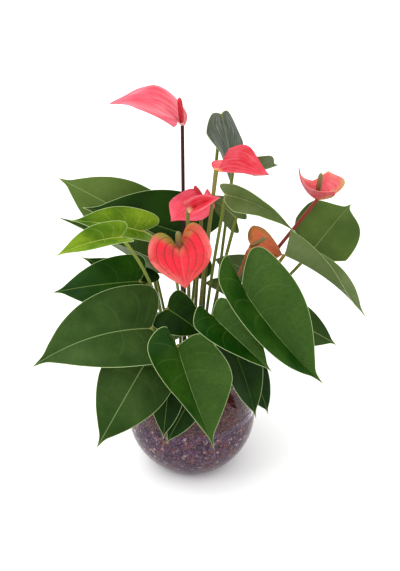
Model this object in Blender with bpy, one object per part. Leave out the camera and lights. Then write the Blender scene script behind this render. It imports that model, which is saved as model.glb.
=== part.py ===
"""Potted anthurium in a round glass bowl, in metres, +Z up, origin under the middle of the bowl.

Each leaf is one solid, its heart-shaped blade and its petiole grown together. Each bloom has a
stem, a spathe (the coloured bract) and a spadix (the finger of tiny flowers). All of them stand
in plain holes in the soil that half fills the bowl. The tables below are in millimetres.
"""
import math

import bmesh
import bpy
import numpy as np
from mathutils import Matrix

MM = 0.001

# The bowl: part of a ball, cut flat at the base and open at the top.
BOWL_RADIUS = 80.0
BOWL_CENTRE_Z = 68.0
BOWL_WALL = 3.6
BOWL_FLOOR = 8.0
BOWL_RIM_Z = 118.0
BOWL_LIP = 2.4
BOWL_SIDES = 36
INSIDE_STEPS = 9
OUTSIDE_STEPS = 9

# The soil fills the bowl to here, with a gap to the glass.
SOIL_Z = 74.0
SOIL_SLOPE = 0.03
SOIL_LUMP = 1.6
SOIL_RINGS = (76.0, 62.0, 48.0, 32.0, 16.0)
FIT_GAP = 0.35
HOLE_BOTTOM_Z = 63.6
HOLE_RADIUS = 2.7
HOLE_TOP_Z = 86.0

# Stalks stand upright in the soil from FOOT_Z to CROWN_Z and bend from there.
FOOT_Z = 64.0
CROWN_Z = 79.0
PETIOLE_RADIUS = 2.1
STEM_RADIUS = 2.2
STALK_SIDES = 6
STALK_STEPS = 6
BLADE_THICKNESS = 0.9
PETIOLE_POKE = 0.9
WELD = 0.001
BLADE_COLUMNS = 3

# Half outlines, from the notch round the basal lobe to the tip. Each row is the place along the
# midrib as a share of the blade's length, the share of the half width, and the place on the
# midrib that the vein to that point of the edge leaves from.
LEAF_HALF = (
    (0.00, 0.00, 0.000), (-0.05, 0.10, 0.015), (-0.15, 0.29, 0.030), (-0.24, 0.52, 0.050),
    (-0.23, 0.77, 0.080), (-0.11, 0.94, 0.120), (0.07, 1.00, 0.190), (0.28, 0.95, 0.290),
    (0.48, 0.79, 0.430), (0.66, 0.54, 0.590), (0.80, 0.27, 0.750), (0.89, 0.09, 0.870),
    (1.00, 0.00, 1.000))
SPATHE_HALF = (
    (0.00, 0.00, 0.000), (-0.12, 0.08, 0.015), (-0.34, 0.26, 0.030), (-0.44, 0.50, 0.060),
    (-0.38, 0.75, 0.100), (-0.20, 0.93, 0.150), (0.02, 1.00, 0.220), (0.24, 0.97, 0.310),
    (0.46, 0.80, 0.440), (0.66, 0.53, 0.580), (0.82, 0.26, 0.750), (0.93, 0.09, 0.890),
    (1.00, 0.00, 1.000))
LOBE_BACK = 0.27

# foot is where the stalk stands in the soil (x, y); joint is where the stalk meets the blade and
# tip the blade's tip (x, y, z); face is where the upper side looks (azimuth from the front
# towards +X, elevation) in degrees. The rest shapes the blade, and a pair has a value for each half.
LEAVES = (
    dict(name="leaf_01", foot=(-22, 22), joint=(-62, 114, 275), tip=(-168, 120, 336), width=88,
         face=(-10, 40), arch=8),
    dict(name="leaf_02", foot=(-6, 24), joint=(10, 94, 262), tip=(-135, 88, 309), width=112,
         face=(0, 50), arch=8, lobe=0.6, fold=6),
    dict(name="leaf_03", foot=(-15, -1), joint=(-55, -25, 327), tip=(-136, -35, 345), width=50,
         face=(0, 60), arch=4, fold=30, lobe=0.8, arrive=(-1, -0.2, 0.5), bend=0.25),
    dict(name="leaf_04", foot=(-22, -9), joint=(-76, -70, 340), tip=(-147, -95, 328), width=40,
         face=(0, 65), arch=6, fold=30, lobe=0.5, arrive=(-0.35, -0.7, 0.8), rise=0.45),
    dict(name="leaf_05", foot=(-26, 12), joint=(-47, 34, 247), tip=(-160, 40, 317), width=82,
         face=(0, 85), arch=4, fold=50, lobe=0.4),
    dict(name="leaf_06", foot=(-32, -6), joint=(-59, -20, 261), tip=(-162, -30, 251), width=68,
         face=(0, 42), arch=8, lobe=0.35),
    dict(name="leaf_07", foot=(-32, 4), joint=(-52, 12, 241), tip=(-132, 6, 281), width=38,
         face=(0, 35), arch=4, lobe=0.5),
    dict(name="leaf_08", foot=(-28, -16), joint=(-45, -67, 224), tip=(-178, -110, 198), width=104,
         face=(0, 48), arch=14, fold=16, lobe=0.3, sweep=7),
    dict(name="leaf_09", foot=(-20, -22), joint=(-46, -61, 189), tip=(-110, -110, 88), width=84,
         face=(0, 30), arch=10, lobe=0.6, pinch=-0.1, rise=0.5),
    dict(name="leaf_10", foot=(1, -20), joint=(-15, -92, 215), tip=(27, -139, 107), width=94,
         face=(23, 41), arch=-5, fold=(51, 27), ease=0.3, lobe=(0.4, 0.87), slant=(0.04, -0.1),
         lift=(2, 11), lean=-17, twist=-47, pinch=-0.2, arrive=(-0.2, -1, 0.4), rise=0.5),
    dict(name="leaf_11", foot=(-12, -20), joint=(-28, -40, 236), tip=(17, -52, 206), width=54,
         face=(0, 45), arch=4, lobe=0.35),
    dict(name="leaf_12", foot=(20, -21), joint=(24, -83, 250), tip=(93, -107, 189), width=58,
         face=(27, 31), arch=0, fold=(49, 17), ease=0.4, lobe=(0.35, 0.75), slant=(0, -0.04),
         lift=(1, 13), lean=-22, twist=-38, pinch=-0.1),
    dict(name="leaf_13", foot=(12, -12), joint=(58, -53, 270), tip=(153, -90, 164), width=106,
         face=(34, 75), arch=-2, fold=(53, 22), ease=0, lobe=0.9, slant=(0.1, -0.09), lift=(-8, 15),
         lean=-21, sweep=5, twist=17),
    dict(name="leaf_14", foot=(36, -4), joint=(109, 10, 196), tip=(179, 0, 163), width=60,
         face=(20, 45), arch=6),
    dict(name="leaf_15", foot=(33, 6), joint=(143, 30, 273), tip=(197, 83, 316), width=84,
         face=(2, 39), arch=8, fold=17, ease=0.2, lobe=(0.2, 0), slant=(0.3, 0.25), lift=5, twist=-16),
    dict(name="leaf_16", foot=(27, 2), joint=(108, -24, 297), tip=(205, -46, 225), width=70,
         face=(8, 118), arch=8, fold=45, lobe=0.05, slant=(0.14, -0.05), sweep=3, twist=50),
    dict(name="leaf_17", foot=(12, 0), joint=(40, -4, 363), tip=(123, -26, 322), width=36,
         face=(-20, 41), arch=8, fold=35, ease=0, lobe=(0.45, 0.1), slant=(0.1, 0.18), lean=-12,
         sweep=-7, twist=64, pinch=0.3),
    dict(name="leaf_18", foot=(16, 10), joint=(53, 14, 327), tip=(15, 28, 349), width=46,
         face=(0, 150), arch=4),
    dict(name="leaf_19", foot=(12, 26), joint=(36, 92, 428), tip=(47, 60, 344), width=64,
         face=(51, 20), arch=5, fold=3, lobe=(0.5, 0.3), slant=(0.4, 0.25), lift=3, lean=4, twist=-20,
         pinch=0.25),
    dict(name="leaf_20", foot=(27, 38), joint=(50, 37, 383), tip=(103, 44, 382), width=54,
         face=(-41, 117), arch=-4, fold=(2, 18), ease=0, lobe=(-0.05, -0.2), slant=(-0.15, 0.2),
         lift=-4, sweep=7, twist=-23, pinch=-0.4),
    dict(name="leaf_21", foot=(30, 24), joint=(75, 88, 220), tip=(26, 88, 238), width=56,
         face=(0, 150), arch=4),
    dict(name="leaf_22", foot=(30, 14), joint=(50, 22, 230), tip=(14, 20, 238), width=38,
         face=(0, 150), arch=4),
    dict(name="leaf_23", foot=(24, -29), joint=(46, -48, 198), tip=(78, -65, 99), width=58,
         face=(25, 30), arch=6, fold=30, lobe=(0.6, 1)),
    dict(name="leaf_24", foot=(30, -20), joint=(66, -32, 154), tip=(94, -45, 92), width=46,
         face=(30, 30), arch=6),
    dict(name="leaf_25", foot=(-14, -34), joint=(-26, -64, 147), tip=(-33, -88, 85), width=40,
         face=(0, 30), arch=6),
    dict(name="leaf_26", foot=(2, -34), joint=(1, -62, 129), tip=(-30, -80, 73), width=40,
         face=(0, 30), arch=6),
    dict(name="leaf_27", foot=(-14, 30), joint=(-53, 62, 161), tip=(-100, 128, 131), width=62,
         face=(200, 60), arch=8),
    dict(name="leaf_28", foot=(2, 34), joint=(0, 66, 147), tip=(16, 150, 122), width=64,
         face=(180, 60), arch=8),
    dict(name="leaf_29", foot=(14, 40), joint=(57, 58, 152), tip=(123, 112, 140), width=60,
         face=(150, 60), arch=8),
)

# spadix is the finger's free end, and girth its radius.
BLOOMS = (
    dict(name="bloom_a", foot=(-8, 16), joint=(-10, 71, 420), tip=(-93, 46, 455), width=70,
         face=(-3, 79), arch=14, fold=18, ease=0.8, lobe=(-0.35, 0.15), slant=(0.3, 0), lean=5,
         pinch=-0.35, rise=0.5,
         spadix=(-13, 60, 459), girth=3.4, stem_seat=0.7, spadix_seat=5.9,
         spathe_colour=(0.80, 0.11, 0.16), stem_colour=(0.10, 0.02, 0.03),
         spadix_colour=(0.62, 0.02, 0.04)),
    dict(name="bloom_b", foot=(6, -5), joint=(29, -27, 401), tip=(88, -20, 394), width=88,
         face=(9, 118), arch=0, fold=27, ease=0, lobe=(0.3, -0.1), slant=(0.44, 0.1), lift=13,
         lean=6, twist=-37,
         spadix=(45, -25, 415), girth=2.2, stem_seat=1.0, spadix_seat=5.8, spathe_colour=(0.82, 0.09, 0.10),
         stem_colour=(0.20, 0.17, 0.05), spadix_colour=(0.80, 0.52, 0.10)),
    dict(name="bloom_c", foot=(2, 8), joint=(14, 24, 348), tip=(-23, -10, 333), width=39,
         face=(15, 47), arch=-6, fold=9, ease=0.8, lobe=(0.45, 0.15), slant=(0, 0.2), lean=25,
         twist=27, pinch=-0.25,
         spadix=(4, 15, 367), girth=2.8, stem_seat=3.9, spadix_seat=3.2, spathe_colour=(0.80, 0.12, 0.17),
         stem_colour=(0.20, 0.17, 0.05), spadix_colour=(0.62, 0.02, 0.04)),
    dict(name="bloom_d", foot=(-2, -10), joint=(-3, -29, 354), tip=(34, -28, 370), width=32,
         face=(15, 30), arch=-1, fold=(58, 64), ease=0.4, lobe=0, slant=0.04, sweep=-2, twist=-9,
         spadix=(-7, -30, 367), girth=1.4, stem_seat=0.7, spadix_seat=4.1, spathe_colour=(0.80, 0.10, 0.14),
         stem_colour=(0.24, 0.22, 0.07), spadix_colour=(0.62, 0.05, 0.05)),
    dict(name="bloom_e", foot=(-8, -12), joint=(-12, -60, 321), tip=(-5, -86, 285), width=73,
         face=(0, 28), arch=0, fold=18, lobe=(1.2, 0.95), slant=(0.04, 0), lift=4, twist=-12,
         arrive=(0, -1, 0.5), rise=0.6,
         spadix=(-13, -76, 350), girth=3.8, stem_seat=1.0, spadix_seat=5.5, spathe_colour=(0.82, 0.06, 0.08),
         stem_colour=(0.12, 0.05, 0.04), spadix_colour=(0.20, 0.16, 0.04)),
    dict(name="bloom_f", foot=(22, 8), joint=(148, 26, 345), tip=(126, 38, 386), width=73,
         face=(72, 19), arch=-5, fold=52, ease=0.95, lobe=(0.25, 0.8), slant=0.05, lift=6, lean=5,
         sweep=-7, twist=17, pinch=0.5,
         spadix=(150, 16, 383), girth=3.4, stem_seat=1.0, spadix_seat=6.6, spathe_colour=(0.80, 0.16, 0.18),
         stem_colour=(0.22, 0.05, 0.04), spadix_colour=(0.24, 0.20, 0.05)),
    dict(name="bloom_g", foot=(19, -6), joint=(70, -10, 302), tip=(108, 0, 286), width=50,
         face=(0, 40), arch=3, lobe=0.3,
         spadix=(87, -20, 317), girth=2.6, stem_seat=3.5, spadix_seat=2.4, spathe_colour=(0.75, 0.13, 0.06),
         stem_colour=(0.24, 0.06, 0.04), spadix_colour=(0.28, 0.24, 0.07)),
)

# The spadix's share of its length, and of its girth there.
SPADIX_SHAPE = ((0.0, 0.7), (0.12, 0.95), (0.5, 1.0), (0.85, 0.8), (0.97, 0.4))

LEAF_COLOUR = (0.03, 0.13, 0.03)
YOUNG_COLOUR = (0.16, 0.36, 0.03)
YOUNG_LEAVES = ("leaf_03", "leaf_04")
SOIL_COLOUR = (0.10, 0.03, 0.025)
GLASS_COLOUR = (0.80, 0.80, 0.86)


def unit(vector):
    vector = np.asarray(vector, float)
    return vector / np.linalg.norm(vector)


def both_halves(value):
    """A value given once for both halves of a blade, or as a pair, always as a pair."""
    return value if isinstance(value, tuple) else (value, value)


class Blade:
    """A heart-shaped blade: a midrib that arches from the joint to the tip, with two halves."""

    def __init__(self, joint, tip, width, face, half, arch=8.0, fold=0.0, ease=0.5, lobe=1.0,
                 slant=0.0, lift=0.0, lean=0.0, sweep=0.0, twist=0.0, pinch=0.0):
        self.joint = np.asarray(joint, float)
        self.length = np.linalg.norm(np.asarray(tip, float) - self.joint)
        self.along = unit(np.asarray(tip, float) - self.joint)
        azimuth, elevation = np.radians(face)
        look = np.array((math.sin(azimuth) * math.cos(elevation),
                         -math.cos(azimuth) * math.cos(elevation), math.sin(elevation)))
        self.normal = unit(look - look.dot(self.along) * self.along)
        self.side = np.cross(self.along, self.normal)
        self.half_width = width / 2
        self.half = half
        self.lobe, self.slant = both_halves(lobe), both_halves(slant)
        self.fold, self.lift = both_halves(fold), both_halves(lift)
        self.arch, self.sweep, self.lean = arch, sweep, lean
        self.twist = math.radians(twist)
        self.ease, self.pinch = ease, pinch

    def midrib(self, share):
        """The midrib's point at a share of the length; behind the joint it runs straight on."""
        curve = 4 * share * (1 - share) if share > 0 else 4 * share
        return (self.joint + self.along * self.length * share
                + self.normal * self.arch * curve + self.side * self.sweep * curve)

    def point(self, row, across, sign):
        """The blade's point on one vein, at a share of the way from midrib (0) to edge (1)."""
        back, wide, root = row
        lobed = back < 0
        if lobed:
            back *= self.lobe[(1 + sign) // 2]
        wide *= 1 - self.pinch * max(0, min(1, back / 0.4))
        share = root + (back - root) * across
        reach = wide * across * self.half_width
        centre = self.midrib(share)
        ahead = unit(self.midrib(share + 0.001) - centre)
        up = unit(np.cross(self.side, ahead))
        out = np.cross(ahead, up)
        turn = self.twist * max(share, 0)
        up, out = (up * math.cos(turn) + out * math.sin(turn),
                   out * math.cos(turn) - up * math.sin(turn))
        fold = math.radians(self.fold[(1 + sign) // 2])
        angle = fold * (1 - self.ease * max(0, min(1, share)))
        behind = (back / LOBE_BACK) ** 2 * across if lobed else 0
        rise = reach * math.sin(angle) + self.lift[(1 + sign) // 2] * behind
        slant = self.slant[(1 + sign) // 2] * self.length * (wide * across) ** 2
        return (centre + out * sign * reach * math.cos(angle) + up * rise
                + self.side * self.lean * behind + self.along * slant)

    def sheet(self):
        """Points and triangles of the blade's middle surface, the same on both halves."""
        points = [self.point(row, 0, 1) for row in self.half]
        last = len(self.half) - 1
        triangles = []
        for sign in (-1, 1):
            grid = [[0] * BLADE_COLUMNS]
            for i in range(1, last):
                line = [i]
                for k in range(1, BLADE_COLUMNS):
                    line.append(len(points))
                    points.append(self.point(self.half[i], k / (BLADE_COLUMNS - 1), sign))
                grid.append(line)
            grid.append([last] * BLADE_COLUMNS)
            for i in range(last):
                for k in range(BLADE_COLUMNS - 1):
                    a, b = grid[i][k], grid[i + 1][k]
                    c, d = grid[i + 1][k + 1], grid[i][k + 1]
                    if sign < 0:
                        b, d = d, b
                    triangles += [t for t in ((a, b, c), (a, c, d)) if len(set(t)) == 3]
        return np.array(points), triangles


def stalk_path(spec, stop_short):
    """From the foot in the soil, straight up to the crown, then in one bend to the joint."""
    foot = np.array((*spec["foot"], FOOT_Z), float)
    crown = np.array((*spec["foot"], CROWN_Z), float)
    joint = np.asarray(spec["joint"], float)
    span = joint - crown
    reach = np.linalg.norm(span)
    arrive = spec.get("arrive", (0.9 * span[0], 0.9 * span[1], 0.6 * max(60.0, span[2])))
    arrive = unit(arrive)
    end = joint - arrive * stop_short
    first = crown + np.array((0, 0, reach * spec.get("rise", 0.4)))
    second = end - arrive * reach * spec.get("bend", 0.3)
    path = [foot]
    for t in np.linspace(0, 1, STALK_STEPS):
        path.append((1 - t) ** 3 * crown + 3 * (1 - t) ** 2 * t * first
                    + 3 * (1 - t) * t * t * second + t ** 3 * end)
    return path


def material(name, colour, roughness, transmission=0.0):
    made = bpy.data.materials.new(name)
    made.use_nodes = True
    shader = made.node_tree.nodes["Principled BSDF"]
    shader.inputs["Base Color"].default_value = (*colour, 1.0)
    shader.inputs["Roughness"].default_value = roughness
    shader.inputs["Metallic"].default_value = 0.0
    shader.inputs["Transmission Weight"].default_value = transmission
    return made


def mesh_object(name, mesh, made, foot):
    """A smooth-shaded object that stands at its foot. The mesh is in world millimetres."""
    mesh.transform(Matrix.Scale(MM, 4) @ Matrix.Translation((-foot[0], -foot[1], 0)))
    mesh.materials.clear()
    mesh.materials.append(made)
    mesh.shade_smooth()
    mesh.set_sharp_from_angle(angle=math.radians(50))
    made_object = bpy.data.objects.new(name, mesh)
    made_object.location = (foot[0] * MM, foot[1] * MM, 0)
    bpy.context.scene.collection.objects.link(made_object)
    return made_object


def spun_mesh(name, profile):
    """Turn a profile of (radius, z) points, from the axis round to the axis, about Z."""
    mesh = bpy.data.meshes.new(name)
    form = bmesh.new()
    verts = [form.verts.new((radius, 0, z)) for radius, z in profile]
    edges = [form.edges.new(pair) for pair in zip(verts, verts[1:])]
    bmesh.ops.spin(form, geom=verts + edges, cent=(0, 0, 0), axis=(0, 0, 1),
                   angle=math.tau, steps=BOWL_SIDES, use_duplicate=False)
    bmesh.ops.remove_doubles(form, verts=form.verts, dist=WELD)
    bmesh.ops.recalc_face_normals(form, faces=form.faces)
    form.to_mesh(mesh)
    form.free()
    return mesh


def swept_mesh(name, path, radii):
    """A round curve through the path, as a closed mesh with flat ends."""
    curve = bpy.data.curves.new(name, "CURVE")
    curve.dimensions = "3D"
    curve.bevel_depth = 1.0
    curve.bevel_resolution = STALK_SIDES // 2 - 2
    curve.use_fill_caps = True
    line = curve.splines.new("POLY")
    line.points.add(len(path) - 1)
    for point, place, radius in zip(line.points, path, radii):
        point.co = (*place, 1)
        point.radius = radius
    holder = bpy.data.objects.new(name, curve)
    bpy.context.scene.collection.objects.link(holder)
    bpy.context.view_layer.update()
    evaluated = holder.evaluated_get(bpy.context.evaluated_depsgraph_get())
    mesh = bpy.data.meshes.new_from_object(evaluated)
    bpy.data.objects.remove(holder)
    form = bmesh.new()
    form.from_mesh(mesh)
    bmesh.ops.remove_doubles(form, verts=form.verts, dist=WELD)
    bmesh.ops.recalc_face_normals(form, faces=form.faces)
    form.to_mesh(mesh)
    form.free()
    return mesh


def blade_object(spec, half, made):
    """The blade's sheet, made solid by a Solidify modifier that is equal on both sides."""
    points, triangles = blade_of(spec, half).sheet()
    mesh = bpy.data.meshes.new(spec["name"])
    mesh.from_pydata([tuple(p) for p in points], [], triangles)
    blade = mesh_object(spec["name"], mesh, made, spec["foot"])
    solid = blade.modifiers.new("thickness", "SOLIDIFY")
    solid.thickness = BLADE_THICKNESS * MM
    solid.offset = 0
    return blade


def boolean(target, others, operation, solver):
    """One applied Boolean of the target with a collection, whose objects are then removed."""
    tools = bpy.data.collections.new(target.name + "_tools")
    for other in others:
        tools.objects.link(other)
    modifier = target.modifiers.new("boolean", "BOOLEAN")
    modifier.operation = operation
    modifier.operand_type = "COLLECTION"
    modifier.collection = tools
    modifier.solver = solver
    bpy.context.view_layer.update()
    evaluated = target.evaluated_get(bpy.context.evaluated_depsgraph_get())
    result = bpy.data.meshes.new_from_object(evaluated)
    target.modifiers.clear()
    target.data = result
    for other in others:
        bpy.data.objects.remove(other)
    bpy.data.collections.remove(tools)


BLADE_KEYS = ("arch", "fold", "ease", "lobe", "slant", "lift", "lean", "sweep", "twist", "pinch")


def blade_of(spec, half):
    shape = {key: spec[key] for key in BLADE_KEYS if key in spec}
    return Blade(spec["joint"], spec["tip"], spec["width"], spec["face"], half, **shape)


def arc(radius, z_from, z_to, steps):
    """Points on the ball of that radius between two heights, evenly spread by angle."""
    start = math.asin((z_from - BOWL_CENTRE_Z) / radius)
    end = math.asin((z_to - BOWL_CENTRE_Z) / radius)
    angles = np.linspace(start, end, steps)
    return [(radius * math.cos(a), BOWL_CENTRE_Z + radius * math.sin(a)) for a in angles]


def inner_wall():
    """The inside of the glass from the floor up to the rim."""
    return arc(BOWL_RADIUS - BOWL_WALL, BOWL_FLOOR, BOWL_RIM_Z, INSIDE_STEPS)


def make_bowl():
    outside = arc(BOWL_RADIUS, 0.0, BOWL_RIM_Z, OUTSIDE_STEPS)
    inside = inner_wall()[::-1]
    middle = (outside[-1][0] + inside[0][0]) / 2
    lip = [(middle + BOWL_LIP * math.cos(a), BOWL_RIM_Z + 1 + BOWL_LIP * math.sin(a))
           for a in np.radians((20, 90, 160))]
    profile = [(0, 0.0)] + outside + lip + inside + [(0, BOWL_FLOOR)]
    glass = material("clear_glass", GLASS_COLOUR, 0.03, 0.9)
    mesh_object("glass_bowl", spun_mesh("glass_bowl", profile), glass, (0, 0))


def soil_top(x, y):
    """The soil's lumpy surface, a little higher on the right."""
    lump = math.sin(0.19 * x + 0.4) * math.cos(0.16 * y) + 0.6 * math.sin(0.33 * y - 0.25 * x)
    return SOIL_Z + SOIL_SLOPE * x + SOIL_LUMP * lump / 1.6


def soil_radius(z):
    """How far the soil reaches at a height: the glass's inner facets less the gap."""
    wall = inner_wall()
    return float(np.interp(z, [p[1] for p in wall], [p[0] for p in wall])) - FIT_GAP


def make_soil(feet):
    levels = [BOWL_FLOOR + FIT_GAP] + [z for _, z in inner_wall() if BOWL_FLOOR < z < SOIL_Z - 6]
    profile = [(0, levels[0])] + [(soil_radius(z), z) for z in levels]
    profile += [(r, SOIL_Z) for r in SOIL_RINGS] + [(0, SOIL_Z)]
    mesh = spun_mesh("soil", profile)
    for vertex in mesh.vertices:
        x, y, z = vertex.co
        if z < SOIL_Z - WELD:
            continue
        z = soil_top(x, y)
        if math.hypot(x, y) > SOIL_RINGS[0] - WELD:
            spread = soil_radius(z) / math.hypot(x, y)
            x, y = x * spread, y * spread
        vertex.co = (x, y, z)
    form = bmesh.new()
    form.from_mesh(mesh)
    bmesh.ops.triangulate(form, faces=form.faces)
    form.to_mesh(mesh)
    form.free()
    bark = material("bark_and_peat", SOIL_COLOUR, 0.95)
    soil = mesh_object("soil", mesh, bark, (0, 0))
    cutters = []
    for number, (x, y) in enumerate(feet):
        path = ((x, y, HOLE_BOTTOM_Z), (x, y, HOLE_TOP_Z))
        hole = swept_mesh("hole_%d" % number, path, (HOLE_RADIUS, HOLE_RADIUS))
        cutters.append(mesh_object("hole_%d" % number, hole, bark, (x, y)))
    boolean(soil, cutters, "DIFFERENCE", "EXACT")


def make_leaf(spec):
    young = spec["name"] in YOUNG_LEAVES
    green = material(spec["name"] + "_green", YOUNG_COLOUR if young else LEAF_COLOUR, 0.35)
    leaf = blade_object(spec, LEAF_HALF, green)
    path = stalk_path(spec, -PETIOLE_POKE)
    petiole = swept_mesh("petiole", path, [PETIOLE_RADIUS] * len(path))
    boolean(leaf, [mesh_object("petiole", petiole, green, spec["foot"])], "UNION", "EXACT")


def make_bloom(spec):
    """Three objects that stand at the bloom's foot."""
    name, foot = spec["name"], spec["foot"]
    wax = material(name + "_spathe_wax", spec["spathe_colour"], 0.25)
    spathe = blade_object(spec, SPATHE_HALF, wax)
    spathe.name = name + "_spathe"
    path = stalk_path(spec, spec["stem_seat"])
    skin = material(name + "_stem_skin", spec["stem_colour"], 0.4)
    stem = swept_mesh(name + "_stem", path, [STEM_RADIUS] * len(path))
    mesh_object(name + "_stem", stem, skin, foot)
    joint, end = np.asarray(spec["joint"], float), np.asarray(spec["spadix"], float)
    start = joint + unit(end - joint) * spec["spadix_seat"]
    finger = [start + (end - start) * share for share, _ in SPADIX_SHAPE]
    radii = [spec["girth"] * swell for _, swell in SPADIX_SHAPE]
    beads = material(name + "_spadix_beads", spec["spadix_colour"], 0.5)
    mesh_object(name + "_spadix", swept_mesh(name + "_spadix", finger, radii), beads, foot)


def main():
    for old in list(bpy.data.objects):
        bpy.data.objects.remove(old)
    make_bowl()
    make_soil([spec["foot"] for spec in LEAVES + BLOOMS])
    for spec in LEAVES:
        make_leaf(spec)
    for spec in BLOOMS:
        make_bloom(spec)


main()
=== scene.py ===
"""The looks of the potted anthurium: leaves, blooms, glass bowl, bark and stage.

Each node of the frame is replaced by a finer piece of the same form, worked out from the
same measures as the solids. Measures in the tables are millimetres.
"""
import math

import bmesh
import bpy
import numpy as np
from mathutils import Euler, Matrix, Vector


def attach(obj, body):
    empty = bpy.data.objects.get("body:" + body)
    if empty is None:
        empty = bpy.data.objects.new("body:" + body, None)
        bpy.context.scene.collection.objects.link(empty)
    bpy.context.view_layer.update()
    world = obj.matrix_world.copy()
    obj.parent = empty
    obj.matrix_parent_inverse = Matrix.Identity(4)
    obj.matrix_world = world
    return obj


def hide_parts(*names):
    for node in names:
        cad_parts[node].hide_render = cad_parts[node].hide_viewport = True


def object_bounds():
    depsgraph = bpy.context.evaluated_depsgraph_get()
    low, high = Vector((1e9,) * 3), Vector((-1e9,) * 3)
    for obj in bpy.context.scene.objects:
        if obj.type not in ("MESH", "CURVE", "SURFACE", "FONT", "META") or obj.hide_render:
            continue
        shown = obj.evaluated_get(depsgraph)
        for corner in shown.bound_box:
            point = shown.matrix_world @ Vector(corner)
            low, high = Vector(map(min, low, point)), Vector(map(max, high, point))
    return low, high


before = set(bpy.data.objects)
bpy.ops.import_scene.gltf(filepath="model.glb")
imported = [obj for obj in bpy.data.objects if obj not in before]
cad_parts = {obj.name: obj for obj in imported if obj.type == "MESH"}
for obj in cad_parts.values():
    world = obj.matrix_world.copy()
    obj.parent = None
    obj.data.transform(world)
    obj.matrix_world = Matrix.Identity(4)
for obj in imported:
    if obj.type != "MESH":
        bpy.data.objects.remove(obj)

bl_info = {
    "name": "Potted anthurium",
    "version": (1, 0, 0),
    "blender": (4, 5, 0),
    "location": "View3D > Sidebar > Anthurium",
    "description": "Dresses the potted anthurium and sets its stage",
    "category": "Object",
}

MM = 0.001
CAD_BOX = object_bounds()

# Half outlines: the place along the midrib, the share of the half width, and the place on the
# midrib that the vein to that point of the edge leaves from.
LEAF_HALF = (
    (0.0, 0.0, 0.0), (-0.05, 0.1, 0.015), (-0.15, 0.29, 0.03), (-0.24, 0.52, 0.05),
    (-0.23, 0.77, 0.08), (-0.11, 0.94, 0.12), (0.07, 1.0, 0.19), (0.28, 0.95, 0.29),
    (0.48, 0.79, 0.43), (0.66, 0.54, 0.59), (0.8, 0.27, 0.75), (0.89, 0.09, 0.87), (1.0, 0.0, 1.0))
SPATHE_HALF = (
    (0.0, 0.0, 0.0), (-0.12, 0.08, 0.015), (-0.34, 0.26, 0.03), (-0.44, 0.5, 0.06),
    (-0.38, 0.75, 0.1), (-0.2, 0.93, 0.15), (0.02, 1.0, 0.22), (0.24, 0.97, 0.31),
    (0.46, 0.8, 0.44), (0.66, 0.53, 0.58), (0.82, 0.26, 0.75), (0.93, 0.09, 0.89), (1.0, 0.0, 1.0))


def row(name, foot, joint, tip, width, face, arch, **more):
    """One stalk with its blade.

    foot, joint and tip are the stalk's place in the soil, the stalk's top and the blade's tip.
    face is where the upper side looks: degrees from the front towards +X, and degrees up.
    arch and sweep are how far the midrib bows up and to the side, twist is how many degrees the
    blade turns by its tip. Each half is folded up by fold degrees, less by the share ease at the
    tip. lobe stretches its lobe, lift and lean raise it and move it sideways, slant draws the
    edge forward, and pinch narrows the half. A pair holds one value for each half. The stalk
    starts and ends its bend by the shares rise and bend, and meets the joint along arrive.
    """
    return dict(more, name=name, foot=foot, joint=joint, tip=tip, width=width, face=face, arch=arch)


def leaf(number, kind, *shape, **more):
    """One leaf. Its kind says which greens it has."""
    return row("leaf_%02d" % number, *shape, kind=kind, **more)


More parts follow.
